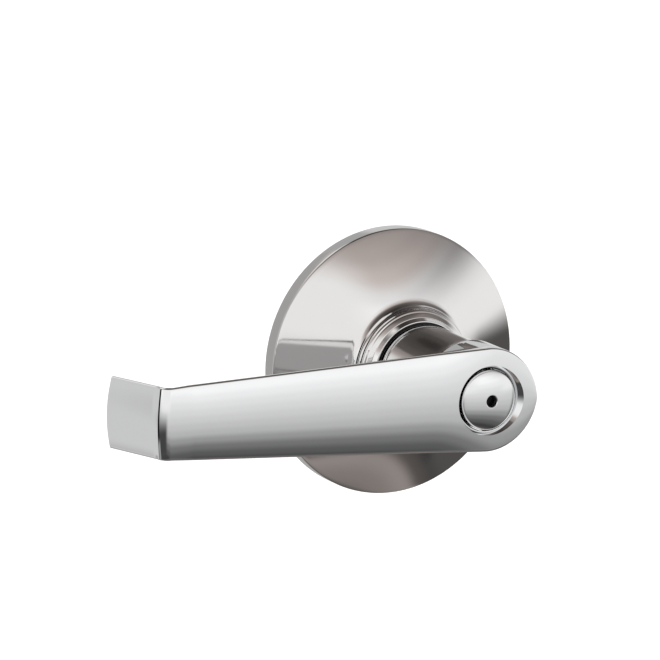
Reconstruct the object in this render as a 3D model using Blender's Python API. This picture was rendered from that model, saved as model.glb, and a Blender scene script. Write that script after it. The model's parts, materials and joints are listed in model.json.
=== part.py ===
"""Privacy door lever handle: the outside half of a tubular lever set, as it comes off the door.

Frame: the lever turns about the Y axis. The door's face is the plane y = 0, the handle stands off it
towards -Y, and the posts and the drive spindle go into the door along +Y. The lever points along -X,
and +Z is up. "Height" below always means distance from the door's face towards -Y.
All sizes are in millimetres, and vertices are written in metres.
"""

import math

import bmesh
import bpy
from mathutils import Vector

MM = 0.001
GAP = 0.3  # clearance between pieces that rest on or run in each other

# Rose: the pressed cover that lies on the door
ROSE_RADIUS = 33.5
ROSE_RIM_HEIGHT = 4.4
ROSE_RISE = 0.46  # height gained per millimetre of radius on the conical face
ROSE_BULGE = 0.42  # how far the middle of the conical face stands above a straight cone
ROSE_SHEET = 1.1
ROSE_EDGE = 0.3  # rounding at the top of the rim
ROSE_LIP_RADIUS = 15.34
ROSE_LIP_HEIGHT = 14.2
ROSE_FILLET = 2.5

# Collar, bush and neck, from the outside in
COLLAR_TOP = 17.8
COLLAR_BORE = 12.45
NECK_RADIUS = 12.0
NECK_BASE = 17.9
SLEEVE_RADIUS = 11.2
SLEEVE_BASE = 12.8

# Lever: head, arm, bend and return
FRONT_HEIGHT = 52.4
HEAD_RADIUS = 12.65
DRUM_RADIUS = 12.75
DRUM_BACK = 41.5
ARM_SWEEP = 0.034  # drop towards the door per millimetre along the arm
SWEEP_START = 8.0
ARM_TAPER = 0.049  # half width lost per millimetre along the arm
CORNER = 84.95  # where the front lines of arm and return would meet
TIP_WIDTH = 8.55
BEND_ANGLE = math.radians(68)
BEND_OUTER = 3.0
BEND_INNER = 2.0
RETURN_LENGTH = 18.4
ARM_THICKNESS = 7.6
TIP_THICKNESS = 5.0
CROWN = 0.16  # rise of the crowned front per millimetre of half width
HEAD_CROWN = 0.6  # the head's crown as a share of the arm's
EDGE_RADIUS = 0.6

# Cap with the pinhole, and the countersink round it
RECESS_RADIUS = 8.76
POCKET_RADIUS = 7.6
POCKET_FLOOR = 46.0
CAP_RADIUS = 7.3
CAP_RIM = 51.3
CAP_TOP = 52.8
PINHOLE_RADIUS = 1.4

# Spindle hub, which carries the lever, and what runs through it
HUB_RADIUS = 9.5
HUB_BORE = 7.9
HUB_FRONT = 36.0
HUB_BACK = -4.0
RING_GROOVE = (-2.5, -1.1)
SPINDLE_HALF = 3.6
SPINDLE_FRONT = 12.0
SPINDLE_BACK = -46.0
ROD_RADIUS = 1.2
CATCH_HEIGHT = 24.0
CATCH_RADIUS = 1.3
SEAT_PIN_HEIGHT = 7.0

# Mounting plate, spring cage and posts
PLATE_RADIUS = 29.0
PLATE_THICKNESS = 1.6
WASHER_RADIUS = 13.0
WASHER_RECESS = 0.5
CAGE_RADIUS = 14.6
CAGE_WALL = 1.0
CAGE_FLANGE = 23.5
CAGE_BASE = PLATE_THICKNESS + GAP
CAGE_TOP = 10.2
POST_SPACING = 38.1
POST_RADIUS = 3.2
POST_LENGTH = 20.0
POST_THREAD_RADIUS = 2.0
RIVET_CIRCLE = 20.5
SPRING_RADIUS = 12.2
SPRING_WIRE = 0.65
DRIVER_RADIUS = 12.6
DRIVER_LUG_RADIUS = 13.2
DRIVER_FLOOR = 2.2
DRIVER_TOP = 3.6
TURN_LIMIT = 50.0  # degrees each way, where the driver's lug meets the cage's stops


def clear_scene():
    for obj in list(bpy.data.objects):
        bpy.data.objects.remove(obj, do_unlink=True)


def make_material(name, colour, roughness, metallic):
    material = bpy.data.materials.new(name)
    material.use_nodes = True
    shader = material.node_tree.nodes["Principled BSDF"]
    shader.inputs["Base Color"].default_value = (*colour, 1.0)
    shader.inputs["Roughness"].default_value = roughness
    shader.inputs["Metallic"].default_value = metallic
    material.diffuse_color = (*colour, 1.0)
    return material


def add_empty(name, location=(0, 0, 0), parent=None):
    empty = bpy.data.objects.new(name, None)
    empty.location = Vector(location) * MM
    empty.parent = parent
    bpy.context.scene.collection.objects.link(empty)
    return empty


def finish_mesh(name, bm, material, parent):
    """Turns a bmesh into a named object with smooth round faces and sharp edges."""
    bmesh.ops.recalc_face_normals(bm, faces=bm.faces)
    mesh = bpy.data.meshes.new(name)
    bm.to_mesh(mesh)
    bm.free()
    mesh.shade_smooth()
    mesh.set_sharp_from_angle(angle=math.radians(30))
    obj = bpy.data.objects.new(name, mesh)
    if material:
        mesh.materials.append(material)
    obj.parent = parent
    bpy.context.scene.collection.objects.link(obj)
    return obj


def lathe(name, profile, material=None, parent=None, segments=48, sweep=360.0, start=0.0):
    """Turns a closed outline of (radius, height) points about the Y axis."""
    bm = bmesh.new()
    closed = sweep >= 360.0
    steps = segments if closed else max(2, round(segments * sweep / 360.0))
    columns = []
    on_axis = {}
    for step in range(steps if closed else steps + 1):
        angle = math.radians(start + sweep * step / steps)
        column = []
        for index, (radius, height) in enumerate(profile):
            if radius == 0 and index in on_axis:
                column.append(on_axis[index])
                continue
            point = Vector((radius * math.cos(angle), -height, radius * math.sin(angle))) * MM
            column.append(bm.verts.new(point))
            if radius == 0:
                on_axis[index] = column[-1]
        columns.append(column)
    pairs = zip(columns, columns[1:] + columns[:1]) if closed else zip(columns, columns[1:])
    count = len(profile)
    for here, there in pairs:
        for i in range(count):
            j = (i + 1) % count
            corners = []
            for vert in (here[i], here[j], there[j], there[i]):
                if vert not in corners:
                    corners.append(vert)
            if len(corners) > 2:
                bm.faces.new(corners)
    if not closed:
        bm.faces.new(columns[0])
        bm.faces.new(list(reversed(columns[-1])))
    return finish_mesh(name, bm, material, parent)


def cylinder(name, radius, low, high, material=None, parent=None, segments=32, inner=0.0):
    """A round bar or tube on the Y axis between two heights."""
    profile = [(inner, low), (radius, low), (radius, high), (inner, high)]
    return lathe(name, profile, material, parent, segments)


def drill(name, radius, low, high, x=0.0, z=0.0):
    """A cutter for a round hole along Y, turned a little so that no corner meets a face's edge."""
    hole = lathe(name, [(0, low), (radius, low), (radius, high), (0, high)], segments=16, start=4.0)
    hole.location = (x * MM, 0, z * MM)
    return hole


def box(name, low, high, material=None, parent=None):
    """A block between two corners, given as (x, height, z)."""
    bm = bmesh.new()
    bmesh.ops.create_cube(bm, size=1.0)
    size = Vector((high[0] - low[0], high[1] - low[1], high[2] - low[2]))
    middle = Vector(((low[0] + high[0]) / 2, -(low[1] + high[1]) / 2, (low[2] + high[2]) / 2))
    bmesh.ops.scale(bm, vec=size * MM, verts=bm.verts)
    bmesh.ops.translate(bm, vec=middle * MM, verts=bm.verts)
    return finish_mesh(name, bm, material, parent)


def wire(name, points, radius, material, parent):
    """A round wire along a list of (x, height, z) points."""
    curve = bpy.data.curves.new(name, "CURVE")
    curve.dimensions = "3D"
    curve.bevel_depth = radius * MM
    curve.bevel_resolution = 2
    curve.use_fill_caps = True
    spline = curve.splines.new("POLY")
    spline.points.add(len(points) - 1)
    for target, (x, height, z) in zip(spline.points, points):
        target.co = (x * MM, -height * MM, z * MM, 1.0)
    curve.materials.append(material)
    obj = bpy.data.objects.new(name, curve)
    obj.parent = parent
    bpy.context.scene.collection.objects.link(obj)
    return obj


def combine(target, helper, operation):
    """Adds a Boolean of a helper shape, which itself isn't part of the object."""
    helper.hide_render = True
    helper.display_type = "WIRE"
    modifier = target.modifiers.new(helper.name, "BOOLEAN")
    modifier.operation = operation
    modifier.solver = "EXACT"
    modifier.object = helper
    return target


def cut(target, *helpers):
    for helper in helpers:
        combine(target, helper, "DIFFERENCE")
    return target


def turn_to(obj, direction, location=(0, 0, 0)):
    """Lays a shape made on the Y axis along another direction, through a point (x, height, z)."""
    obj.rotation_euler = Vector((0, -1, 0)).rotation_difference(Vector(direction)).to_euler()
    obj.location = Vector((location[0], -location[1], location[2])) * MM
    return obj


def polar(radius, degrees):
    return radius * math.cos(math.radians(degrees)), radius * math.sin(math.radians(degrees))


def arc(centre, radius, first, last, steps):
    """Points (r, height) on an arc from one angle to another, in degrees, ends included."""
    angles = [math.radians(first + (last - first) * i / steps) for i in range(steps + 1)]
    return [(centre[0] + radius * math.cos(a), centre[1] + radius * math.sin(a)) for a in angles]


def rose_face(radius):
    """Height of the rose's conical face at a radius."""
    return ROSE_RIM_HEIGHT + (ROSE_RADIUS - ROSE_EDGE - radius) * ROSE_RISE


def make_rose(material):
    """Conical cover with an upright rim outside and a trumpet fillet up to the lip inside."""
    slope = math.atan(ROSE_RISE)
    centre = (ROSE_LIP_RADIUS + ROSE_FILLET, ROSE_LIP_HEIGHT)
    fillet = arc(centre, ROSE_FILLET, 270 - math.degrees(slope), 180, 6)
    inside = ROSE_SHEET / math.cos(slope)
    outer, inner = ROSE_RADIUS - ROSE_EDGE, fillet[0][0]
    shares = [step / 5 for step in range(1, 5)]
    face = [(outer + (inner - outer) * share,
             ROSE_RIM_HEIGHT + (fillet[0][1] - ROSE_RIM_HEIGHT) * share
             + 4 * ROSE_BULGE * share * (1 - share)) for share in shares]
    bore = ROSE_LIP_RADIUS - 0.84
    profile = [
        (ROSE_RADIUS, 0.0),
        (ROSE_RADIUS, ROSE_RIM_HEIGHT - 2 * ROSE_EDGE),
        (ROSE_RADIUS - 0.1, ROSE_RIM_HEIGHT - 0.8 * ROSE_EDGE),
        (ROSE_RADIUS - ROSE_EDGE, ROSE_RIM_HEIGHT),
        *face,
        *fillet,
        (ROSE_LIP_RADIUS - 0.15, ROSE_LIP_HEIGHT + 0.15),
        (bore, ROSE_LIP_HEIGHT + 0.15),
        (bore, rose_face(bore) - inside),
        (ROSE_RADIUS - ROSE_SHEET, rose_face(ROSE_RADIUS - ROSE_SHEET) - inside),
        (ROSE_RADIUS - ROSE_SHEET, 0.0),
    ]
    return lathe("rose", profile, material, segments=72)


def make_rose_collar(material):
    """Stepped ring that stands in the rose's lip and rings the lever's neck."""
    base = CAGE_TOP + GAP
    flange = ROSE_LIP_HEIGHT + 0.15 + GAP
    profile = [
        (COLLAR_BORE, base),
        (14.2, base),
        (14.2, flange),
        (15.15, flange),
        (14.75, 15.65),
        (14.45, 15.8),
        (13.35, 16.6),
        (COLLAR_BORE + 0.15, COLLAR_TOP),
        (COLLAR_BORE, COLLAR_TOP),
    ]
    return lathe("rose_collar", profile, material, segments=64)


def make_neck_bush(material):
    """Nylon sleeve that the lever's neck turns in; its top shows as the dark ring."""
    profile = [
        (SLEEVE_RADIUS + 0.2, SLEEVE_BASE),
        (COLLAR_BORE - 0.2, SLEEVE_BASE),
        (COLLAR_BORE - 0.2, COLLAR_TOP - 0.4),
        (SLEEVE_RADIUS + 0.2, COLLAR_TOP - 0.4),
    ]
    return lathe("neck_bush", profile, material)


def make_mounting_plate(material):
    """Steel disc against the door, drilled for posts and rivets and recessed behind for the washer."""
    bore = HUB_RADIUS + GAP
    profile = [(bore, WASHER_RECESS), (WASHER_RADIUS + GAP, WASHER_RECESS), (WASHER_RADIUS + GAP, 0.0),
               (PLATE_RADIUS, 0.0), (PLATE_RADIUS, PLATE_THICKNESS), (bore, PLATE_THICKNESS)]
    plate = lathe("mounting_plate", profile, material, segments=64)
    for side in (-1, 1):
        cut(plate, drill(f"post_hole_{side}", POST_RADIUS + GAP, -2, 4, side * POST_SPACING / 2))
    for index in range(4):
        cut(plate, drill(f"rivet_hole_{index}", 1.4, -2, 6, *polar(RIVET_CIRCLE, 45 + 90 * index)))
    return plate


def make_spring_cage(material):
    """Pressed cup over the return spring, with a flange for the rivets and two stops inside."""
    inner = CAGE_RADIUS - CAGE_WALL
    profile = [
        (inner, CAGE_BASE),
        (CAGE_FLANGE, CAGE_BASE),
        (CAGE_FLANGE, CAGE_BASE + 1.0),
        (CAGE_RADIUS, CAGE_BASE + 1.0),
        (CAGE_RADIUS, CAGE_TOP),
        (HUB_RADIUS + GAP, CAGE_TOP),
        (HUB_RADIUS + GAP, CAGE_TOP - CAGE_WALL),
        (inner, CAGE_TOP - CAGE_WALL),
    ]
    cage = lathe("spring_cage", profile, material)
    for side in (-1, 1):
        stop = box(f"cage_stop_{side}", (inner - 0.7, DRIVER_FLOOR, -1.2), (inner + 0.5, DRIVER_TOP, 1.2))
        stop.rotation_euler.y = -math.radians(90 + side * (TURN_LIMIT + 14))
        combine(cage, stop, "UNION")
        cut(cage, drill(f"post_recess_{side}", 4.5, 1, 6, side * POST_SPACING / 2))
    for index in range(4):
        cut(cage, drill(f"cage_hole_{index}", 1.4, 1, 6, *polar(RIVET_CIRCLE, 45 + 90 * index)))
    return cut(cage, drill("tang_hole", SPRING_WIRE + GAP, CAGE_TOP - 3, CAGE_TOP + 2, z=-SPRING_RADIUS))


def make_post(name, side, material):
    """Threaded post for one through-bolt, headed over the mounting plate."""
    head = CAGE_BASE + 1.3
    profile = [
        (0.0, -POST_LENGTH + 18.0),
        (POST_THREAD_RADIUS, -POST_LENGTH + 18.0),
        (POST_THREAD_RADIUS, -POST_LENGTH),
        (POST_RADIUS, -POST_LENGTH),
        (POST_RADIUS, CAGE_BASE),
        (4.1, CAGE_BASE),
        (4.1, head - 0.4),
        (3.6, head),
        (0.0, head),
    ]
    post = lathe(name, profile, material, segments=24)
    post.location.x = side * POST_SPACING / 2 * MM
    return post


def make_cage_rivet(index, material):
    flange = CAGE_BASE + 1.0 + GAP
    profile = [(0, 0.2), (1.1, 0.2), (1.1, flange), (2.0, flange), (1.7, flange + 0.7),
               (0.9, flange + 1.1), (0, flange + 1.1)]
    x, z = polar(RIVET_CIRCLE, 45 + 90 * index)
    rivet = lathe(f"cage_rivet_{index + 1}", profile, material, segments=12)
    rivet.location = (x * MM, 0, z * MM)
    return rivet


def make_rose_clip(index, material):
    """Spring-steel tongue on the plate's edge that the rose snaps over."""
    grip = ROSE_RADIUS - ROSE_SHEET - GAP
    clip = box(f"rose_clip_{index + 1}", (25.0, CAGE_BASE, -3.5), (grip, CAGE_BASE + 0.6, 3.5), material)
    lip = box(f"clip_lip_{index}", (grip - 0.6, CAGE_BASE + 0.3, -3.5), (grip, CAGE_BASE + 1.2, 3.5))
    for piece in (clip, lip):
        piece.rotation_euler.y = -math.radians(90 + 120 * index)
    return combine(clip, lip, "UNION")


def make_return_spring(material):
    """Torsion spring whose lower tang turns with the driver and whose upper tang stays in the cage."""
    turns, per_turn = 2, 28
    low, high = DRIVER_TOP + 1.1, CAGE_TOP - CAGE_WALL - 1.1
    bend = ((0.0, 2.2), (0.0, 1.2), (0.6, 0.7), (2.0, 0.35), (5.0, 0.1))  # degrees round, height off the coil
    route = [(degrees, low - drop) for degrees, drop in bend]
    for step in range(turns * per_turn - 1):
        share = (step + 1) / (turns * per_turn)
        route.append((360 * turns * share, low + (high - low) * share))
    route += [(360 * turns - degrees, high + rise) for degrees, rise in reversed(bend)]
    points = []
    for degrees, height in route:
        x, z = polar(SPRING_RADIUS, degrees - 90)
        points.append((x, height, z))
    return wire("return_spring", points, SPRING_WIRE, material, None)


def make_thrust_washer(material):
    front = WASHER_RECESS - GAP
    return cylinder("thrust_washer", WASHER_RADIUS, front - 1.0, front, material, inner=HUB_RADIUS + GAP)


def front_line(distance):
    """Height of the lever's front line, which leans towards the door beyond the head."""
    run = max(distance, 0.0)
    if run < SWEEP_START:
        return FRONT_HEIGHT - ARM_SWEEP * run**2 / (2 * SWEEP_START)
    return FRONT_HEIGHT - ARM_SWEEP * (run - SWEEP_START / 2)


def half_width(distance):
    """Half the lever's width: a round head, then an even taper to the tip."""
    if distance < 0:
        return math.sqrt(max(HEAD_RADIUS**2 - distance**2, 0.01))
    return max(HEAD_RADIUS - ARM_TAPER * distance, TIP_WIDTH)


def thickness(distance):
    share = min(max((distance - 10.0) / (CORNER - 20.0), 0.0), 1.0)
    return ARM_THICKNESS + (TIP_THICKNESS - ARM_THICKNESS) * share


def crown_share(distance):
    """How much of the arm's crown the front has: less over the head, all of it beyond."""
    return HEAD_CROWN + (1 - HEAD_CROWN) * min(max(distance / 14.0, 0.0), 1.0)


def section(width, depth, share):
    """One slice as (depth behind the front line, z): a crowned front and a full rounded back."""
    rounding = min(EDGE_RADIUS, width / 2)
    crown = CROWN * width * share
    flat = width - rounding
    loop = [(crown * (flat * step / 4 / width)**2, flat * step / 4) for step in range(-4, 5)]
    edge = crown + 0.7 * rounding
    loop.append((edge - 0.45 * rounding, width - 0.25 * rounding))
    for step in range(13):
        angle = math.pi * step / 12
        loop.append((edge + (depth - edge) * math.sin(angle), width * math.cos(angle)))
    loop.append((edge - 0.45 * rounding, -width + 0.25 * rounding))
    return loop


def bend_slices():
    """Slices that fan round the tip's bend, then run straight to the return's end."""
    sweep = math.atan(ARM_SWEEP)
    middle = sweep + BEND_ANGLE / 2
    corner = Vector((-CORNER, front_line(CORNER)))
    inward = Vector((math.sin(middle), -math.cos(middle)))
    stretch = 1 / math.cos(BEND_ANGLE / 2)
    front_centre = corner + inward * BEND_OUTER * stretch
    back_centre = corner + inward * (TIP_THICKNESS + BEND_INNER) * stretch
    slices = []
    for step in range(8):
        turned = sweep + BEND_ANGLE * step / 7
        outward = Vector((-math.sin(turned), math.cos(turned)))
        front = front_centre + outward * BEND_OUTER
        slices.append((front, back_centre + outward * BEND_INNER, TIP_WIDTH, 1.0))
    along = Vector((-math.cos(turned), -math.sin(turned)))
    for reach in (0.45, 1.0):
        front = corner + along * RETURN_LENGTH * reach
        slices.append((front, front - outward * TIP_THICKNESS, TIP_WIDTH, 1.0))
    return slices


def lever_slices():
    """(front point, back point, half width, crown share) of each slice, from head to return's end."""
    stations = [-HEAD_RADIUS * math.cos(math.radians(a)) for a in (7, 16, 26, 37, 49, 62, 76)]
    stations += [0, 6, 12, 24, 38, 52, 66, 77]
    slices = []
    for distance in stations:
        front = Vector((-distance, front_line(distance)))
        inward = Vector((ARM_SWEEP, -1.0)) if distance > 0 else Vector((0.0, -1.0))
        back = front + inward * thickness(distance)
        slices.append((front, back, half_width(distance), crown_share(distance)))
    return slices + bend_slices()


def make_blade():
    """The lever's front, arm, bend and return as one lofted solid."""
    bm = bmesh.new()
    rings = []
    for front, back, width, share in lever_slices():
        depth = (back - front).length
        inward = (back - front) / depth
        ring = []
        for behind, z in section(width, depth, share):
            at = front + inward * behind
            ring.append(bm.verts.new(Vector((at.x, -at.y, z)) * MM))
        rings.append(ring)
    for here, there in zip(rings, rings[1:]):
        for i in range(len(here)):
            j = (i + 1) % len(here)
            bm.faces.new((here[i], here[j], there[j], there[i]))
    bm.faces.new(rings[0])
    bm.faces.new(list(reversed(rings[-1])))
    return finish_mesh("lever", bm, None, None)


def neck_profile():
    """Outline of the head's drum, the waisted neck and the sleeve that plugs into the bush."""
    return [
        (0.0, SLEEVE_BASE),
        (SLEEVE_RADIUS, SLEEVE_BASE),
        (SLEEVE_RADIUS, NECK_BASE),
        (NECK_RADIUS - 0.4, NECK_BASE),
        (NECK_RADIUS, NECK_BASE + 0.4),
        (NECK_RADIUS + 0.15, 22.0),
        (NECK_RADIUS + 0.05, 28.0),
        (NECK_RADIUS, 32.0),
        (NECK_RADIUS + 0.05, 36.0),
        (NECK_RADIUS + 0.15, 38.8),
        (NECK_RADIUS + 0.3, DRUM_BACK - 1.0),
        (DRUM_RADIUS, DRUM_BACK),
        (HEAD_RADIUS + 0.05, FRONT_HEIGHT - 3.0),
        (HEAD_RADIUS - 1.0, FRONT_HEIGHT - 3.0),
        (0.0, FRONT_HEIGHT - 3.0),
    ]


def make_lever(material, parent):
    lever = make_blade()
    lever.parent = parent
    lever.data.materials.append(material)
    combine(lever, lathe("neck_and_drum", neck_profile()), "UNION")
    bore = [
        (0, SLEEVE_BASE - 2),
        (HUB_RADIUS + GAP, SLEEVE_BASE - 2),
        (HUB_RADIUS + GAP, HUB_FRONT + 1.0),
        (4.5, HUB_FRONT + 1.0),
        (4.5, POCKET_FLOOR),
        (POCKET_RADIUS, POCKET_FLOOR),
        (POCKET_RADIUS, FRONT_HEIGHT - 1.7),
        (RECESS_RADIUS, FRONT_HEIGHT - 0.2),
        (RECESS_RADIUS + 2.0, FRONT_HEIGHT + 2.3),
        (0, FRONT_HEIGHT + 2.0),
    ]
    catch_hole = drill("lever_catch_hole", CATCH_RADIUS + GAP, 9.0, 15.0)
    turn_to(catch_hole, (0, 0, -1), (0, CATCH_HEIGHT, 0))
    return cut(lever, lathe("lever_bore", bore), catch_hole)


def make_privacy_cap(material, parent):
    """Domed disc with the pinhole and a skirt that snaps into the lever's pocket."""
    rise = CAP_TOP - CAP_RIM
    dome = (CAP_RADIUS**2 + rise**2) / (2 * rise)
    radii = [PINHOLE_RADIUS + (CAP_RADIUS - PINHOLE_RADIUS) * i / 6 for i in range(7)]
    profile = [(r, CAP_TOP - dome + math.sqrt(dome**2 - r**2)) for r in radii]
    profile += [(CAP_RADIUS, 50.0), (6.7, 50.0), (6.7, 46.8), (5.7, 46.8), (5.7, 49.7),
                (PINHOLE_RADIUS, 51.3)]
    return lathe("privacy_cap", profile, material, parent, segments=48)


def make_cap_snap_ring(material, parent):
    profile = [(6.95, 47.8), (7.35, 47.8), (7.35, 48.6), (6.95, 48.6)]
    return lathe("cap_snap_ring", profile, material, parent, segments=32, sweep=320, start=110)


def make_spindle_hub(material, parent):
    """Steel tube that carries the lever, slotted for the driver and grooved for its ring."""
    profile = [
        (HUB_BORE, HUB_BACK),
        (HUB_RADIUS, HUB_BACK),
        (HUB_RADIUS, RING_GROOVE[0]),
        (8.7, RING_GROOVE[0]),
        (8.7, RING_GROOVE[1]),
        (HUB_RADIUS, RING_GROOVE[1]),
        (HUB_RADIUS, HUB_FRONT - 0.6),
        (HUB_RADIUS - 0.6, HUB_FRONT),
        (HUB_BORE, HUB_FRONT),
    ]
    hub = lathe("spindle_hub", profile, material, parent)
    slots = box("driver_slots", (-12, DRIVER_FLOOR - GAP, -1.8), (12, DRIVER_TOP + GAP, 1.8))
    pin_holes = drill("hub_pin_holes", 1.3, -12, 12)
    turn_to(pin_holes, (0, 0, 1), (0, SEAT_PIN_HEIGHT, 0))
    catch_hole = drill("hub_catch_hole", CATCH_RADIUS + GAP, 5.0, 12.0)
    turn_to(catch_hole, (0, 0, -1), (0, CATCH_HEIGHT, 0))
    return cut(hub, slots, pin_holes, catch_hole)


def make_spring_driver(material, parent):
    """Washer keyed to the hub that winds the spring; its lug meets the cage's stops."""
    driver = cylinder("spring_driver", DRIVER_RADIUS, DRIVER_FLOOR, DRIVER_TOP, material, parent,
                      segments=48, inner=HUB_RADIUS + GAP)
    lug = box("driver_lug", (-1.6, DRIVER_FLOOR, 11.5), (1.6, DRIVER_TOP, DRIVER_LUG_RADIUS))
    combine(driver, lug, "UNION")
    for side in (-1, 1):
        reach = sorted((side * 8.2, side * 10.6))
        key = box(f"driver_key_{side}", (reach[0], DRIVER_FLOOR, -1.4), (reach[1], DRIVER_TOP, 1.4))
        combine(driver, key, "UNION")
    return cut(driver, drill("tang_notch", SPRING_WIRE + GAP, 1, 6, z=-SPRING_RADIUS))


def make_retaining_ring(material, parent):
    profile = [(9.0, -2.2), (11.4, -2.2), (11.4, -1.3), (9.0, -1.3)]
    return lathe("retaining_ring", profile, material, parent, segments=48, sweep=315, start=112.5)


def make_spindle_seat(material, parent):
    """Block pressed into the hub that holds the square drive spindle."""
    seat = cylinder("spindle_seat", HUB_BORE - GAP, 2.5, SPINDLE_FRONT, material, parent)
    half = SPINDLE_HALF + GAP
    socket = box("spindle_socket", (-half, 0, -half), (half, 20, half))
    pin_holes = drill("seat_pin_holes", 1.3, -12, 12)
    turn_to(pin_holes, (0, 0, 1), (0, SEAT_PIN_HEIGHT, 0))
    return cut(seat, socket, pin_holes)


def make_drive_spindle(material, parent):
    """Square tube that turns the latch, bored for the release rod."""
    half = SPINDLE_HALF
    spindle = box("drive_spindle", (-half, SPINDLE_BACK, -half), (half, SPINDLE_FRONT, half), material, parent)
    bevel = spindle.modifiers.new("edges", "BEVEL")
    bevel.width = 0.5 * MM
    bevel.segments = 1
    bore = drill("spindle_bore", ROD_RADIUS + GAP, SPINDLE_BACK - 2, SPINDLE_FRONT + 2)
    pin_holes = drill("spindle_pin_holes", 1.3, -12, 12)
    turn_to(pin_holes, (0, 0, 1), (0, SEAT_PIN_HEIGHT, 0))
    return cut(spindle, bore, pin_holes)


def make_spindle_pin(name, side, material, parent):
    """Short pin through the hub, the seat and one wall of the drive spindle."""
    pin = cylinder(name, 1.0, 2.2, 9.3, material, parent, segments=12)
    return turn_to(pin, (0, 0, side), (0, SEAT_PIN_HEIGHT, 0))


def make_rod_guide(material, parent):
    """Moulded guide in the hub's mouth; its tube backs the catch spring."""
    bore = ROD_RADIUS + GAP
    profile = [(bore, 17.0), (2.4, 17.0), (2.4, 30.0), (HUB_BORE - GAP, 30.0), (HUB_BORE - GAP, 34.0),
               (bore, 34.0)]
    return lathe("rod_guide", profile, material, parent, segments=32)


def make_release_rod(material, parent):
    """Push rod behind the pinhole, with a cupped head that the pin presses on."""
    profile = [(0, SPINDLE_BACK - 1.5), (ROD_RADIUS - 0.3, SPINDLE_BACK - 1.5),
               (ROD_RADIUS, SPINDLE_BACK - 1.2), (ROD_RADIUS, 46.6), (3.4, 46.6), (3.4, 48.4),
               (2.8, 48.4), (0, 47.4)]
    return lathe("release_rod", profile, material, parent, segments=16)


def coil(turns, per_turn, first, last):
    """Points of a coil about the Y axis; first and last are (radius, height)."""
    points = []
    for step in range(turns * per_turn + 1):
        share = step / (turns * per_turn)
        x, z = polar(first[0] + (last[0] - first[0]) * share, 360 * turns * share)
        points.append((x, first[1] + (last[1] - first[1]) * share, z))
    return points


def make_lever_catch(material, parent):
    """Spring-loaded pin that locks the lever onto the hub; the tip is reached through the neck."""
    profile = [(0, 5.9), (2.4, 5.9), (2.4, 7.1), (CATCH_RADIUS, 7.1), (CATCH_RADIUS, 10.9),
               (CATCH_RADIUS - 0.4, 11.4), (0, 11.4)]
    return turn_to(lathe("lever_catch", profile, material, parent, segments=20), (0, 0, -1))


def make_catch_spring(material, parent):
    spring = wire("catch_spring", coil(4, 12, (1.2, 2.75), (2.0, 5.55)), 0.2, material, parent)
    return turn_to(spring, (0, 0, -1))


def main():
    clear_scene()
    chrome = make_material("lever_chrome", (0.80, 0.81, 0.82), 0.08, 1.0)
    rose_chrome = make_material("rose_chrome", (0.76, 0.73, 0.73), 0.14, 1.0)
    nylon = make_material("black_nylon", (0.02, 0.02, 0.02), 0.45, 0.0)
    steel = make_material("zinc_steel", (0.62, 0.62, 0.60), 0.35, 1.0)
    spring_steel = make_material("spring_steel", (0.40, 0.40, 0.42), 0.30, 1.0)
    brass = make_material("brass", (0.70, 0.55, 0.28), 0.30, 1.0)

    make_rose(rose_chrome)
    make_rose_collar(rose_chrome)
    make_neck_bush(nylon)
    make_mounting_plate(steel)
    make_spring_cage(steel)
    make_post("post_left", -1, steel)
    make_post("post_right", 1, steel)
    for index in range(4):
        make_cage_rivet(index, steel)
    for index in range(3):
        make_rose_clip(index, spring_steel)
    make_return_spring(spring_steel)
    make_thrust_washer(steel)

    lever_axis = add_empty("lever_axis")
    make_lever(chrome, lever_axis)
    make_privacy_cap(chrome, lever_axis)
    make_cap_snap_ring(spring_steel, lever_axis)
    make_spindle_hub(steel, lever_axis)
    make_spring_driver(steel, lever_axis)
    make_retaining_ring(spring_steel, lever_axis)
    make_spindle_seat(steel, lever_axis)
    make_drive_spindle(steel, lever_axis)
    make_spindle_pin("spindle_pin_top", 1, steel, lever_axis)
    make_spindle_pin("spindle_pin_bottom", -1, steel, lever_axis)
    make_rod_guide(nylon, lever_axis)

    release_axis = add_empty("release_axis", parent=lever_axis)
    make_release_rod(nylon, release_axis)
    wire("release_spring", coil(5, 14, (2.4, 34.5), (2.4, 46.1)), 0.3, spring_steel, release_axis)

    catch_axis = add_empty("catch_axis", (0, -CATCH_HEIGHT, 0), lever_axis)
    make_lever_catch(brass, catch_axis)
    make_catch_spring(spring_steel, catch_axis)


main()
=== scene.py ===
import json
import math

import bmesh
import bpy
from mathutils import Matrix, Vector


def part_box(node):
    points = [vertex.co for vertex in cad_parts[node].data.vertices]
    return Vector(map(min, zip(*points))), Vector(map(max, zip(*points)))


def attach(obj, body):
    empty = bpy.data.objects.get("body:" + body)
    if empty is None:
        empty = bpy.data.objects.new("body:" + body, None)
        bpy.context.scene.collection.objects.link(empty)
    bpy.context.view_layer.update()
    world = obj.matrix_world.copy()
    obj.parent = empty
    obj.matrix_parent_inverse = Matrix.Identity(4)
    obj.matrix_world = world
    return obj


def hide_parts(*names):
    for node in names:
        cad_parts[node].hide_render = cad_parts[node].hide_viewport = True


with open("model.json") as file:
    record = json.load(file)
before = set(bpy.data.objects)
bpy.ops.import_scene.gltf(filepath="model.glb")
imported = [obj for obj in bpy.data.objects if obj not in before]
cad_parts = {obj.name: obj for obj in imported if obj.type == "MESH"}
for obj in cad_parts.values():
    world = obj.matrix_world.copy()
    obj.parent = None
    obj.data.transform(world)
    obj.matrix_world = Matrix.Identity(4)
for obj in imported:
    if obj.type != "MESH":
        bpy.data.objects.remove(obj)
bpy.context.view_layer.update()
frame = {"nodes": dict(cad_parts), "record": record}

# Looks of the privacy door lever handle. The lever turns about the Y axis, the door's face is the plane
# y = 0, and "height" means distance from that face towards -Y. Sizes below are in millimetres.
MM = 0.001
ROUND = 192  # segments of a turned piece
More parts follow.
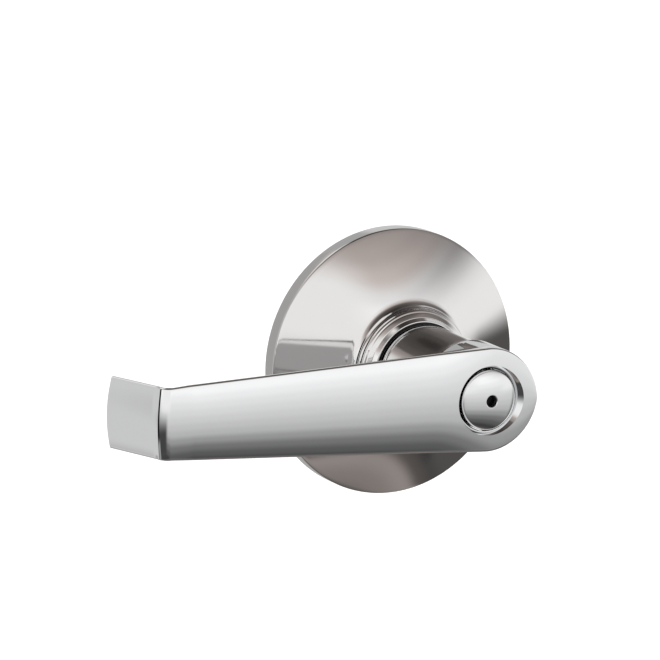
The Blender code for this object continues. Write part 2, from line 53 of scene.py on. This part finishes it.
SHARP_ANGLE = 30  # degrees between faces beyond which an edge stays sharp
CAST_SHARP_ANGLE = 32  # the same, for the lever's casting


def node_box(node):
    """(lowest, highest) corner of a CAD node in millimetres."""
    low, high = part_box(node)
    return low / MM, high / MM


# ---------------------------------------------------------------- mesh helpers

def finish_mesh(name, bm, material):
    """The bmesh as an object in the scene, smooth except where its faces turn sharply."""
    bmesh.ops.recalc_face_normals(bm, faces=bm.faces)
    mesh = bpy.data.meshes.new(name)
    bm.to_mesh(mesh)
    bm.free()
    mesh.shade_smooth()
    mesh.set_sharp_from_angle(angle=math.radians(SHARP_ANGLE))
    mesh.materials.append(material)
    obj = bpy.data.objects.new(name, mesh)
    bpy.context.scene.collection.objects.link(obj)
    return obj


def lathe_mesh(profile, segments=ROUND):
    """A closed outline of (radius, height) points turned about the Y axis, as a bmesh."""
    bm = bmesh.new()
    columns = []
    on_axis = {}
    for step in range(segments):
        angle = math.radians(360.0 * step / segments)
        column = []
        for index, (radius, height) in enumerate(profile):
            if radius == 0 and index in on_axis:
                column.append(on_axis[index])
                continue
            at = Vector((radius * math.cos(angle), -height, radius * math.sin(angle))) * MM
            column.append(bm.verts.new(at))
            if radius == 0:
                on_axis[index] = column[-1]
        columns.append(column)
    count = len(profile)
    for here, there in zip(columns, columns[1:] + columns[:1]):
        for i in range(count):
            j = (i + 1) % count
            corners = []
            for vert in (here[i], here[j], there[j], there[i]):
                if vert not in corners:
                    corners.append(vert)
            if len(corners) > 2:
                bm.faces.new(corners)
    return bm


def rounded(profile, radius, steps=3):
    """The same closed (r, height) outline with each corner off the axis rounded."""
    result = []
    count = len(profile)
    for i, point in enumerate(profile):
        here = Vector(point)
        before = Vector(profile[i - 1]) - here
        after = Vector(profile[(i + 1) % count]) - here
        reach = min(radius, before.length * 0.45, after.length * 0.45)
        turn = math.pi - before.angle(after)
        if here.x == 0 or reach < 0.01 or turn < math.radians(12):
            result.append(point)
            continue
        first = here + before.normalized() * reach
        last = here + after.normalized() * reach
        for step in range(steps + 1):
            t = step / steps
            at = first * (1 - t)**2 + here * 2 * t * (1 - t) + last * t**2
            result.append((at.x, at.y))
    return result


def turned(name, profile, material, edge):
    """A turned piece whose corners are rounded by edge."""
    return finish_mesh(name, lathe_mesh(rounded(profile, edge)), material)


def boolean(target, tool, operation):
    """Applies one Boolean and removes the tool."""
    modifier = target.modifiers.new("boolean", "BOOLEAN")
    modifier.operation = operation
    modifier.solver = "EXACT"
    modifier.object = tool
    bpy.context.view_layer.update()
    graph = bpy.context.evaluated_depsgraph_get()
    mesh = bpy.data.meshes.new_from_object(target.evaluated_get(graph))
    target.modifiers.clear()
    target.data = mesh
    bpy.data.objects.remove(tool)
    return target


def piece(obj, body, node):
    """Puts a finished piece on the body it rides on and hides the CAD node it stands for."""
    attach(obj, body)
    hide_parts(node)
    return obj


# ---------------------------------------------------------------- materials

def node_material(name):
    material = bpy.data.materials.new(name)
    material.use_nodes = True
    tree = material.node_tree
    return material, tree, tree.nodes["Principled BSDF"]


def object_noise(tree, scale, detail):
    """A noise texture in the object's own coordinates, scale in features per metre."""
    coordinates = tree.nodes.new("ShaderNodeTexCoord")
    noise = tree.nodes.new("ShaderNodeTexNoise")
    noise.inputs["Scale"].default_value = scale
    noise.inputs["Detail"].default_value = detail
    tree.links.new(coordinates.outputs["Object"], noise.inputs["Vector"])
    return noise


def ramp(tree, source, low, high):
    """Maps a 0..1 value onto low..high."""
    node = tree.nodes.new("ShaderNodeMapRange")
    node.inputs["To Min"].default_value = low
    node.inputs["To Max"].default_value = high
    tree.links.new(source, node.inputs["Value"])
    return node.outputs["Result"]


def cloudy_colour(tree, shader, cloud, colour, shade):
    """Lets the base colour drift between two colours with the cloud."""
    mix = tree.nodes.new("ShaderNodeMix")
    mix.data_type = "RGBA"
    mix.inputs["A"].default_value = (*colour, 1)
    mix.inputs["B"].default_value = (*shade, 1)
    tree.links.new(cloud.outputs["Fac"], mix.inputs["Factor"])
    tree.links.new(mix.outputs["Result"], shader.inputs["Base Color"])


def metal(name, colour, shade, roughness, grain=(4000, 0.02)):
    """Plated or bare metal: tint drifts a little, roughness is cloudy, and a fine grain breaks the gloss.

    grain is (features per metre, strength of the bump).
    """
    material, tree, shader = node_material(name)
    shader.inputs["Metallic"].default_value = 1.0
    cloudy_colour(tree, shader, object_noise(tree, 90, 4.0), colour, shade)
    smudge = object_noise(tree, 260, 5.0)
    tree.links.new(ramp(tree, smudge.outputs["Fac"], *roughness), shader.inputs["Roughness"])
    fine = object_noise(tree, grain[0], 2.0)
    bump = tree.nodes.new("ShaderNodeBump")
    bump.inputs["Strength"].default_value = grain[1]
    bump.inputs["Distance"].default_value = 0.00002
    tree.links.new(fine.outputs["Fac"], bump.inputs["Height"])
    tree.links.new(bump.outputs["Normal"], shader.inputs["Normal"])
    return material


def plastic(name, colour, shade, roughness):
    """Moulded plastic with a faint cloud in its colour and gloss."""
    material, tree, shader = node_material(name)
    cloud = object_noise(tree, 300, 4.0)
    cloudy_colour(tree, shader, cloud, colour, shade)
    tree.links.new(ramp(tree, cloud.outputs["Fac"], *roughness), shader.inputs["Roughness"])
    return material


LEVER_CHROME = metal("lever_chrome", (0.90, 0.905, 0.91), (0.87, 0.875, 0.88), (0.02, 0.06))
ROSE_CHROME = metal("rose_chrome", (0.86, 0.852, 0.848), (0.83, 0.82, 0.815), (0.05, 0.10))
STEEL = metal("zinc_steel", (0.62, 0.62, 0.60), (0.50, 0.50, 0.49), (0.22, 0.42), (2500, 0.25))
SPRING_STEEL = metal("spring_steel", (0.42, 0.41, 0.40), (0.30, 0.30, 0.31), (0.25, 0.40), (3000, 0.2))
BRASS = metal("brass", (0.78, 0.60, 0.30), (0.66, 0.48, 0.22), (0.18, 0.32), (2500, 0.15))
# Black nylon for the moulded nylon pieces. The release rod also gets it as painted shade: the push rod is drawn
# black to stand in for the shade inside the cap's pinhole.
BLACK_NYLON_AND_PINHOLE_SHADE = plastic("black_nylon", (0.012, 0.012, 0.013), (0.022, 0.022, 0.024), (0.35, 0.55))
SLOTS = {"lever_chrome": LEVER_CHROME, "rose_chrome": ROSE_CHROME, "zinc_steel": STEEL,
         "spring_steel": SPRING_STEEL, "brass": BRASS, "black_nylon": BLACK_NYLON_AND_PINHOLE_SHADE}

# ---------------------------------------------------------------- lever

FRONT_HEIGHT = -node_box("lever")[0].y
HEAD_RADIUS = 12.65
DRUM_RADIUS = 12.75
DRUM_BACK = 41.5
ARM_SWEEP = 0.034  # drop towards the door per millimetre along the arm
SWEEP_START = 8.0
ARM_TAPER = 0.049  # half width lost per millimetre along the arm
CORNER = 84.95  # where the front lines of arm and return would meet
TIP_WIDTH = 8.55
BEND_ANGLE = math.radians(68)
BEND_OUTER = 3.0
BEND_INNER = 2.0
RETURN_LENGTH = 18.4
ARM_THICKNESS = 7.6
TIP_THICKNESS = 5.0
CROWN = 0.16  # rise of the crowned front per millimetre of half width
HEAD_CROWN = 0.6  # the head's crown as a share of the arm's
EDGE_RADIUS = 0.6
NECK_RADIUS = 12.0
NECK_BASE = 17.9
SLEEVE_RADIUS = 11.2
SLEEVE_BASE = 12.8
HUB_BORE = (9.8, 37.0)  # radius and how high it runs
ROD_BORE = 4.5
POCKET_RADIUS = 7.6
POCKET_FLOOR = 46.0
RECESS_RADIUS = 8.76
CATCH_HOLE_RADIUS = 1.6
CATCH_HEIGHT = 24.0
TAPER_BLEND = 0.02  # softens the turn from the taper to the tip's even width


def front_line(distance):
    """Height of the lever's front line, which leans towards the door beyond the head."""
    run = max(distance, 0.0)
    if run < SWEEP_START:
        return FRONT_HEIGHT - ARM_SWEEP * run**2 / (2 * SWEEP_START)
    return FRONT_HEIGHT - ARM_SWEEP * (run - SWEEP_START / 2)


def half_width(distance):
    """Half the lever's width: a round head, then an even taper to the tip."""
    if distance < 0:
        return math.sqrt(max(HEAD_RADIUS**2 - distance**2, 0.0001))
    width = HEAD_RADIUS - ARM_TAPER * distance
    spare = width - TIP_WIDTH
    return TIP_WIDTH + (spare + math.sqrt(spare**2 + TAPER_BLEND)) / 2


def thickness(distance):
    share = min(max((distance - 10.0) / (CORNER - 20.0), 0.0), 1.0)
    return ARM_THICKNESS + (TIP_THICKNESS - ARM_THICKNESS) * share


def crown_share(distance):
    """How much of the arm's crown the front has: less over the head, all of it beyond."""
    share = min(max((distance + 3.0) / 19.0, 0.0), 1.0)
    return HEAD_CROWN + (1 - HEAD_CROWN) * share * share * (3 - 2 * share)


def section(width, depth, fullness, share):
    """One slice as (depth behind the front line, z): crowned front, rounded edges, full back."""
    rounding = min(EDGE_RADIUS, width / 2)
    crown = CROWN * width * share
    flat = width - rounding
    front = 24
    loop = []
    for step in range(-front, front + 1):
        z = flat * math.sin(math.pi / 2 * step / front)
        loop.append((crown * (z / width)**2, z))
    start = crown * (flat / width)**2
    edge = crown + 0.7 * rounding
    shoulder = []
    for step in range(1, 6):
        angle = math.pi / 2 * step / 6
        shoulder.append((start + (edge - start) * (1 - math.cos(angle)), flat + rounding * math.sin(angle)))
    loop += shoulder
    back = 40
    for step in range(back + 1):
        angle = math.pi * step / back
        power = 2.0 / fullness
        side = math.copysign(abs(math.cos(angle))**power, math.cos(angle)) if step * 2 != back else 0.0
        loop.append((edge + (depth - edge) * math.sin(angle)**power, width * side))
    loop += [(behind, -z) for behind, z in reversed(shoulder)]
    return loop


def bend_slices():
    """Slices that fan round the tip's bend, then run straight to the return's end."""
    sweep = math.atan(ARM_SWEEP)
    middle = sweep + BEND_ANGLE / 2
    corner = Vector((-CORNER, front_line(CORNER)))
    inward = Vector((math.sin(middle), -math.cos(middle)))
    stretch = 1 / math.cos(BEND_ANGLE / 2)
    front_centre = corner + inward * BEND_OUTER * stretch
    back_centre = corner + inward * (TIP_THICKNESS + BEND_INNER) * stretch
    slices = []
    steps = 28
    for step in range(steps + 1):
        turned_by = sweep + BEND_ANGLE * step / steps
        outward = Vector((-math.sin(turned_by), math.cos(turned_by)))
        front = front_centre + outward * BEND_OUTER
        slices.append((front, back_centre + outward * BEND_INNER, TIP_WIDTH, 2.0, 1.0))
    along = Vector((-math.cos(turned_by), -math.sin(turned_by)))
    tangent = BEND_OUTER * math.tan(BEND_ANGLE / 2)
    for step in range(1, 15):
        reach = tangent + (RETURN_LENGTH - tangent) * step / 14
        front = corner + along * reach
        slices.append((front, front - outward * TIP_THICKNESS, TIP_WIDTH, 2.0, 1.0))
    return slices


def lever_slices():
    """(front, back, half width, fullness, crown share) of each slice, from head to return's end."""
    stations = [-HEAD_RADIUS * math.cos(math.radians(1 + 3.0 * step)) for step in range(30)]
    stations += [step * 1.0 for step in range(0, 79)]
    slices = []
    for distance in stations:
        front = Vector((-distance, front_line(distance)))
        inward = Vector((ARM_SWEEP * min(max(distance / SWEEP_START, 0), 1), -1.0))
        full = 6.0 - 4.0 * min(max((distance + 2.0) / 16.0, 0.0), 1.0)
        back = front + inward * thickness(distance)
        slices.append((front, back, half_width(distance), full, crown_share(distance)))
    return slices + bend_slices()


def make_lever():
    """The lever's casting: lofted blade, turned neck and drum, bored for the hub, cap and catch."""
    bm = bmesh.new()
    rings = []
    for front, back, width, fullness, share in lever_slices():
        depth = (back - front).length
        inward = (back - front) / depth
        ring = []
        for behind, z in section(width, depth, fullness, share):
            at = front + inward * behind
            ring.append(bm.verts.new(Vector((at.x, -at.y, z)) * MM))
        rings.append(ring)
    for here, there in zip(rings, rings[1:]):
        for i in range(len(here)):
            j = (i + 1) % len(here)
            bm.faces.new((here[i], here[j], there[j], there[i]))
    bm.faces.new(rings[0])
    bm.faces.new(list(reversed(rings[-1])))
    blade = finish_mesh("lever_casting", bm, LEVER_CHROME)
    neck = [
        (0.0, SLEEVE_BASE), (SLEEVE_RADIUS, SLEEVE_BASE), (SLEEVE_RADIUS, NECK_BASE),
        (NECK_RADIUS - 0.2, NECK_BASE), (NECK_RADIUS - 0.05, NECK_BASE + 0.05),
        (NECK_RADIUS, NECK_BASE + 0.2), (NECK_RADIUS + 0.15, 22.0),
        (NECK_RADIUS + 0.05, 28.0), (NECK_RADIUS, 32.0), (NECK_RADIUS + 0.03, 35.0), (NECK_RADIUS + 0.08, 37.5),
        (NECK_RADIUS + 0.17, 39.2), (NECK_RADIUS + 0.35, DRUM_BACK - 1.0), (DRUM_RADIUS - 0.15, DRUM_BACK - 0.4),
        (DRUM_RADIUS, DRUM_BACK - 0.1), (DRUM_RADIUS - 0.01, DRUM_BACK + 0.1),
        (HEAD_RADIUS + 0.03, FRONT_HEIGHT - 2.9), (HEAD_RADIUS - 1.0, FRONT_HEIGHT - 2.9),
        (0.0, FRONT_HEIGHT - 2.9)]
    bore = [
        (0, SLEEVE_BASE - 2.0), (HUB_BORE[0], SLEEVE_BASE - 2.0), HUB_BORE, (ROD_BORE, HUB_BORE[1]),
        (ROD_BORE, POCKET_FLOOR), (POCKET_RADIUS, POCKET_FLOOR), (POCKET_RADIUS, FRONT_HEIGHT - 1.7),
        (RECESS_RADIUS, FRONT_HEIGHT - 0.2), (RECESS_RADIUS + 2.0, FRONT_HEIGHT + 2.3),
        (0, FRONT_HEIGHT + 2.3)]
    boolean(blade, finish_mesh("neck", lathe_mesh(neck), LEVER_CHROME), "UNION")
    boolean(blade, finish_mesh("bore", lathe_mesh(bore), LEVER_CHROME), "DIFFERENCE")
    drill = [(0, 9), (CATCH_HOLE_RADIUS, 9), (CATCH_HOLE_RADIUS, 15), (0, 15)]
    hole = finish_mesh("hole", lathe_mesh(drill, 48), LEVER_CHROME)
    hole.rotation_euler = Vector((0, -1, 0)).rotation_difference(Vector((0, 0, -1))).to_euler()
    hole.location = Vector((0, -CATCH_HEIGHT, 0)) * MM
    boolean(blade, hole, "DIFFERENCE")
    blade.data.shade_smooth()
    blade.data.set_sharp_from_angle(angle=math.radians(CAST_SHARP_ANGLE))
    return blade


# ---------------------------------------------------------------- cap, rose and collar

def make_cap():
    """Domed disc with the pinhole, on a skirt that sits in the lever's pocket."""
    cap_radius, cap_rim, cap_top, pinhole = 7.3, 51.3, 52.8, 1.4
    rise = cap_top - cap_rim
    dome = (cap_radius**2 + rise**2) / (2 * rise)
    radii = [pinhole + 0.15 + (cap_radius - 0.25 - pinhole - 0.15) * i / 14 for i in range(15)]
    profile = [(r, cap_top - dome + math.sqrt(dome**2 - r**2)) for r in radii]
    profile += [(cap_radius, cap_rim - 0.25), (cap_radius, 50.0), (6.7, 50.0), (6.7, 46.8), (5.7, 46.8),
                (5.7, 49.7), (pinhole, 51.3), (pinhole, profile[0][1] - 0.15)]
    return turned("privacy_cap_face", profile, LEVER_CHROME, 0.08)


def make_rose():
    """Conical cover: upright rim, slightly bulged cone, fillet and lip."""
    rim, top, sheet = 33.5, 4.4, 1.1
    lip_radius, lip_height, fillet = 15.34, 14.2, 2.5
    slope, bulge = 0.46, 0.42
    profile = [(rim, 0.0), (rim, top - 0.6), (rim - 0.05, top - 0.3), (rim - 0.15, top - 0.1), (rim - 0.3, top)]
    angle = math.atan(slope)
    centre = (lip_radius + fillet, lip_height)
    start = (centre[0] - fillet * math.sin(angle), centre[1] - fillet * math.cos(angle))
    for step in range(1, 24):
        share = step / 24
        r = rim - 0.3 + (start[0] - rim + 0.3) * share
        profile.append((r, top + (start[1] - top) * share + bulge * 4 * share * (1 - share)))
    for step in range(13):
        a = math.radians(270) - angle + (math.radians(-90) + angle) * step / 12
        profile.append((centre[0] + fillet * math.cos(a), centre[1] + fillet * math.sin(a)))
    profile += [(lip_radius - 0.15, lip_height + 0.15), (14.5, lip_height + 0.15), (14.5, 11.9),
                (rim - sheet, 3.3), (rim - sheet, 0.0)]
    return turned("rose_cover", profile, ROSE_CHROME, 0.0)


def make_collar():
    """Stepped ring between the rose's lip and the neck."""
    profile = [
        (12.45, 10.5), (14.2, 10.5), (14.2, 14.65), (15.15, 14.65), (15.17, 14.9), (15.05, 15.3),
        (14.8, 15.6), (14.45, 15.75), (14.3, 15.95), (13.45, 16.55), (13.3, 16.6), (12.75, 17.75),
        (12.6, 17.8), (12.45, 17.8)]
    return turned("rose_collar_ring", profile, ROSE_CHROME, 0.06)


def make_bush():
    """Sleeve that the lever's neck turns in."""
    profile = [(11.4, 12.8), (12.25, 12.8), (12.25, 17.4), (11.4, 17.4)]
    return turned("neck_bush_sleeve", profile, BLACK_NYLON_AND_PINHOLE_SHADE, 0.1)


piece(make_lever(), "lever_body", "lever")
piece(make_cap(), "lever_body", "privacy_cap")
piece(make_rose(), "rose_body", "rose")
piece(make_collar(), "rose_body", "rose_collar")
piece(make_bush(), "rose_body", "neck_bush")

# Each CAD piece still shown gets the material of its slot. The release rod's black nylon is painted shade for the
# dark pinhole.
for part in frame["record"]["subparts"]:
    node = frame["nodes"][part["node"]]
    if not node.hide_render:
        node.data.materials.clear()
        node.data.materials.append(SLOTS[part["material_slot"]])

# ---------------------------------------------------------------- camera

AZIMUTH, ELEVATION, LEAN = -28.0, 12.4, 2.0
DISTANCE = 1000.0
TARGET = Vector((-15.54, 0.0, 8.76))
LENS = 221.5


def place_camera():
    """A long lens aimed at TARGET, leaning a little to one side."""
    azimuth, elevation = math.radians(AZIMUTH), math.radians(ELEVATION)
    back = Vector((math.sin(azimuth) * math.cos(elevation), -math.cos(azimuth) * math.cos(elevation),
                   math.sin(elevation)))
    right = Vector((math.cos(azimuth), math.sin(azimuth), 0))
    up = back.cross(right)
    turn = Matrix((right, up, back)).transposed().to_4x4()
    place = Matrix.Translation((TARGET + back * DISTANCE) * MM)
    data = bpy.data.cameras.new("camera")
    data.lens = LENS
    data.sensor_width = 36.0
    data.clip_start = 0.05
    camera = bpy.data.objects.new("camera", data)
    camera.matrix_world = Matrix.Rotation(math.radians(-LEAN), 4, "Y") @ place @ turn
    bpy.context.scene.collection.objects.link(camera)
    bpy.context.scene.camera = camera


place_camera()

# ---------------------------------------------------------------- floor and light

def make_floor():
    """Pale floor that the metal doesn't mirror."""
    bm = bmesh.new()
    bmesh.ops.create_circle(bm, cap_ends=True, segments=96, radius=12.0)
    material, tree, shader = node_material("floor")
    shader.inputs["Roughness"].default_value = 0.9
    shader.inputs["Base Color"].default_value = (0.93, 0.93, 0.93, 1)
    floor = finish_mesh("floor", bm, material)
    floor.location.z = -0.25
    floor.visible_glossy = False


def smooth_step(tree, value, low, high):
    """0 below low, 1 above high, and an even ramp between them."""
    node = tree.nodes.new("ShaderNodeMapRange")
    node.interpolation_type = "SMOOTHSTEP"
    node.inputs["From Min"].default_value = low
    node.inputs["From Max"].default_value = high
    tree.links.new(value, node.inputs["Value"])
    return node.outputs["Result"]


def maths(tree, operation, first, second=None, third=None):
    """One Math node fed with numbers or sockets."""
    node = tree.nodes.new("ShaderNodeMath")
    node.operation = operation
    for socket, value in zip(node.inputs, (first, second, third)):
        if isinstance(value, (int, float)):
            socket.default_value = value
        elif value is not None:
            tree.links.new(value, socket)
    return node.outputs["Value"]


# Studio surroundings, seen only in the metal. Directions are in degrees: azimuth to the right of -Y, and
# elevation above the horizon. Levels are brightness, and each card is laid over the ones before it.
SKY = [(-90, 0.06), (-66, 0.14), (-60, 0.24), (-54, 0.31), (-50, 0.10), (-45, 0.05), (-39, 0.11), (-33, 0.19),
       (-27, 0.34), (-21, 0.51), (-15, 0.59), (-9, 0.67), (-3, 0.75), (3, 0.83), (9, 0.93), (15, 1.05), (20, 1.05),
       (25, 0.86), (31, 0.62), (37, 0.47), (45, 0.34), (52, 0.12), (70, 0.08), (82, 0.04)]
WARM = (1.0, 0.89, 0.84)  # tint of the sky overhead and underneath
CARDS = [
    # name, level, tint, azimuths, elevations, softness in azimuth and in elevation
    ("left_wall", 0.92, (1.0, 1.0, 0.99), (-76, 4), (3, 33), 24, 14),
    ("right_wall", 0.93, (1.0, 1.0, 0.99), (48, 104), (-1, 13), 20, 8),
    ("low_left", 0.06, (1.0, 1.0, 1.0), (-110, -22), (-48, -9), 30, 26),
    ("right_shade", 0.15, (1.0, 0.91, 0.87), (50, 150), (17, 60), 70, 16),
    ("low_right", 0.09, (1.0, 0.95, 0.93), (70, 128), (-46, -3), 8, 8),
    ("tip_light", 0.33, (1.0, 1.0, 1.0), (-104, -86), (-60, -26), 4, 8),
    ("flag", 0.0, (1.0, 1.0, 1.0), (-112, -93), (-24, 70), 4, 8),
    ("behind_right", 0.62, (1.0, 1.0, 1.0), (104, 160), (-1, 48), 16, 8),
    ("behind", 0.42, (1.0, 1.0, 1.0), (159, 181), (-60, 60), 6, 8),
    ("behind_left", 0.40, (1.0, 0.98, 0.97), (-181, -110), (-60, 38), 6, 8),
    ("high_left", 0.88, (1.0, 0.98, 0.97), (-181, -96), (39, 76), 14, 10),
    ("return_light", 0.64, (1.0, 1.0, 1.0), (-134, -112), (-35, 40), 4, 12),
]


def make_world():
    """Paints SKY by elevation and lays each card over it."""
    world = bpy.data.worlds.new("studio")
    bpy.context.scene.world = world
    world.use_nodes = True
    tree = world.node_tree
    background = tree.nodes["Background"]
    coordinates = tree.nodes.new("ShaderNodeTexCoord")
    split = tree.nodes.new("ShaderNodeSeparateXYZ")
    tree.links.new(coordinates.outputs["Generated"], split.inputs["Vector"])
    x, y, z = (split.outputs[axis] for axis in "XYZ")
    to_degrees = 180 / math.pi
    elevation = maths(tree, "MULTIPLY", maths(tree, "ARCSINE", z), to_degrees)
    front = maths(tree, "MULTIPLY", y, -1.0)
    azimuth = maths(tree, "MULTIPLY", maths(tree, "ARCTAN2", x, front), to_degrees)
    scaled = maths(tree, "MULTIPLY_ADD", elevation, 1 / 180, 0.5)
    sky = tree.nodes.new("ShaderNodeValToRGB")
    sky.color_ramp.interpolation = "EASE"
    while len(sky.color_ramp.elements) < len(SKY):
        sky.color_ramp.elements.new(0.5)
    for element, (degrees, level) in zip(sky.color_ramp.elements, SKY):
        element.position = degrees / 180 + 0.5
        tint = WARM if degrees > 28 or degrees < -46 else (1, 1, 1)
        element.color = (*(level * channel for channel in tint), 1)
    tree.links.new(scaled, sky.inputs["Fac"])
    colour = sky.outputs["Color"]
    for name, level, tint, azimuths, elevations, soft_azimuth, soft_elevation in CARDS:
        factor = None
        edges = ((azimuth, azimuths, soft_azimuth), (elevation, elevations, soft_elevation))
        for value, (low, high), soft in edges:
            rise = smooth_step(tree, value, low - soft / 2, low + soft / 2)
            fall = smooth_step(tree, value, high - soft / 2, high + soft / 2)
            inside = maths(tree, "MULTIPLY", rise, maths(tree, "SUBTRACT", 1.0, fall))
            factor = inside if factor is None else maths(tree, "MULTIPLY", factor, inside)
        mix = tree.nodes.new("ShaderNodeMix")
        mix.name = name
        mix.data_type = "RGBA"
        tree.links.new(factor, mix.inputs["Factor"])
        tree.links.new(colour, mix.inputs["A"])
        mix.inputs["B"].default_value = (*(level * channel for channel in tint), 1)
        colour = mix.outputs["Result"]
    tree.links.new(colour, background.inputs["Color"])


def add_light(name, centre, aim, width, height, power):
    """A soft rectangular light that lights matt surfaces only, so it doesn't show in the chrome."""
    data = bpy.data.lights.new(name, "AREA")
    data.shape = "RECTANGLE"
    data.size, data.size_y = width, height
    data.energy = power
    light = bpy.data.objects.new(name, data)
    light.location = centre
    light.rotation_euler = (Vector(aim) - Vector(centre)).to_track_quat("-Z", "Y").to_euler()
    light.visible_glossy = False
    bpy.context.scene.collection.objects.link(light)


make_floor()
make_world()
add_light("overhead", (0, 1.0, 4.0), (0, 1.5, -0.25), 8.0, 8.0, 380.0)
bpy.context.scene.view_settings.view_transform = "Standard"
